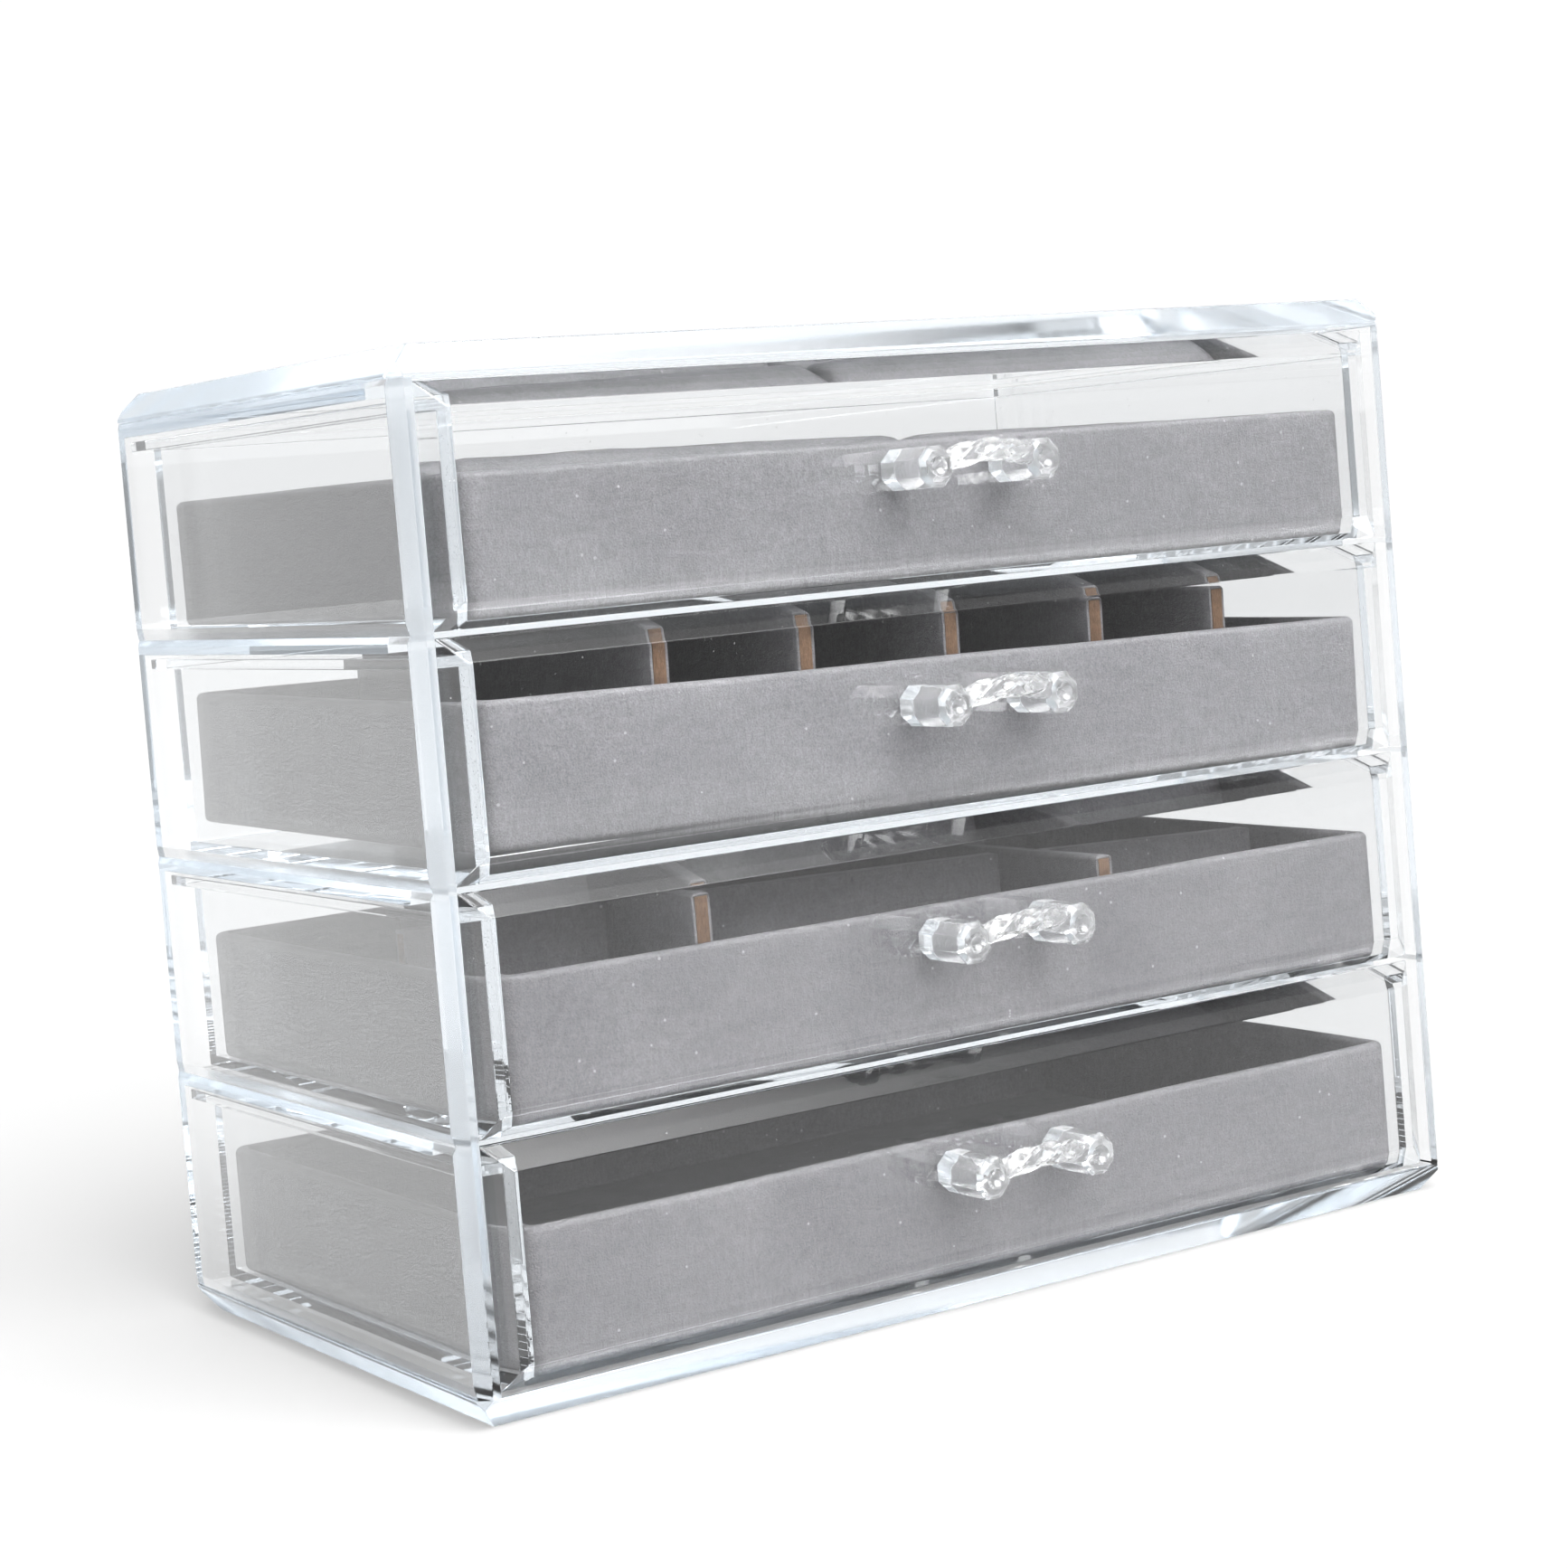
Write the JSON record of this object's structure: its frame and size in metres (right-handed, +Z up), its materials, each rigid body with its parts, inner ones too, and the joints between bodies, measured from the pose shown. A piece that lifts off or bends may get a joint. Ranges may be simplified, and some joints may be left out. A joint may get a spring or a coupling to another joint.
{
  "type": "clear drawer organiser box",
  "caption": "Clear acrylic organiser chest with bevelled sliding drawer fronts, twisted bar handles and grey velvet trays with dividers and ring rolls.",
  "frame": {"origin": "centre of the underside of the base plate", "axes": "+X along the width to the user's right, +Y from the drawer fronts to the back, +Z up"},
  "size_m": [0.236, 0.1521, 0.195],
  "materials": {
    "case_acrylic": "clear, polished",
    "drawer_acrylic": "clear, polished",
    "handle_acrylic": "clear, polished",
    "velvet": "short grey pile",
    "fibreboard": "raw sawn edge"
  },
  "bodies": {
    "case": {"base_plate": "case_acrylic", "case_tier_1": "case_acrylic", "case_tier_2": "case_acrylic", "case_tier_3": "case_acrylic", "case_tier_4": "case_acrylic", "top_cover": "case_acrylic"},
    "drawer_1": {"drawer_box_1": "drawer_acrylic", "drawer_front_1": "drawer_acrylic", "drawer_handle_1": "handle_acrylic", "velvet_tray_1": "velvet", "ring_roll_left_1": "velvet", "ring_roll_left_2": "velvet", "ring_roll_left_3": "velvet", "ring_roll_left_4": "velvet", "ring_roll_left_5": "velvet", "ring_roll_right_1": "velvet", "ring_roll_right_2": "velvet", "ring_roll_right_3": "velvet", "ring_roll_right_4": "velvet", "ring_roll_right_5": "velvet"},
    "drawer_2": {"drawer_box_2": "drawer_acrylic", "drawer_front_2": "drawer_acrylic", "drawer_handle_2": "handle_acrylic", "velvet_tray_2": "velvet", "divider_board_1": "fibreboard", "divider_board_2": "fibreboard", "divider_board_3": "fibreboard", "divider_board_4": "fibreboard", "divider_board_5": "fibreboard", "divider_wrap_1": "velvet", "divider_wrap_2": "velvet", "divider_wrap_3": "velvet", "divider_wrap_4": "velvet", "divider_wrap_5": "velvet"},
    "drawer_3": {"drawer_box_3": "drawer_acrylic", "drawer_front_3": "drawer_acrylic", "drawer_handle_3": "handle_acrylic", "velvet_tray_3": "velvet", "tall_divider_board": "fibreboard", "low_divider_board": "fibreboard", "cross_board_left": "fibreboard", "cross_board_middle": "fibreboard", "cross_board_right": "fibreboard", "tall_divider_wrap": "velvet", "low_divider_wrap": "velvet", "cross_wrap_left": "velvet", "cross_wrap_middle": "velvet", "cross_wrap_right": "velvet"},
    "drawer_4": {"drawer_box_4": "drawer_acrylic", "drawer_front_4": "drawer_acrylic", "drawer_handle_4": "handle_acrylic", "velvet_tray_4": "velvet"}
  },
  "joints": [
    {"name": "drawer_1_slide", "type": "slide", "parent": "case", "child": "drawer_1", "axis": [0, -1, 0], "range_m": [0, 0.11]},
    {"name": "drawer_2_slide", "type": "slide", "parent": "case", "child": "drawer_2", "axis": [0, -1, 0], "range_m": [0, 0.11]},
    {"name": "drawer_3_slide", "type": "slide", "parent": "case", "child": "drawer_3", "axis": [0, -1, 0], "range_m": [0, 0.11]},
    {"name": "drawer_4_slide", "type": "slide", "parent": "case", "child": "drawer_4", "axis": [0, -1, 0], "range_m": [0, 0.11]}
  ]
}
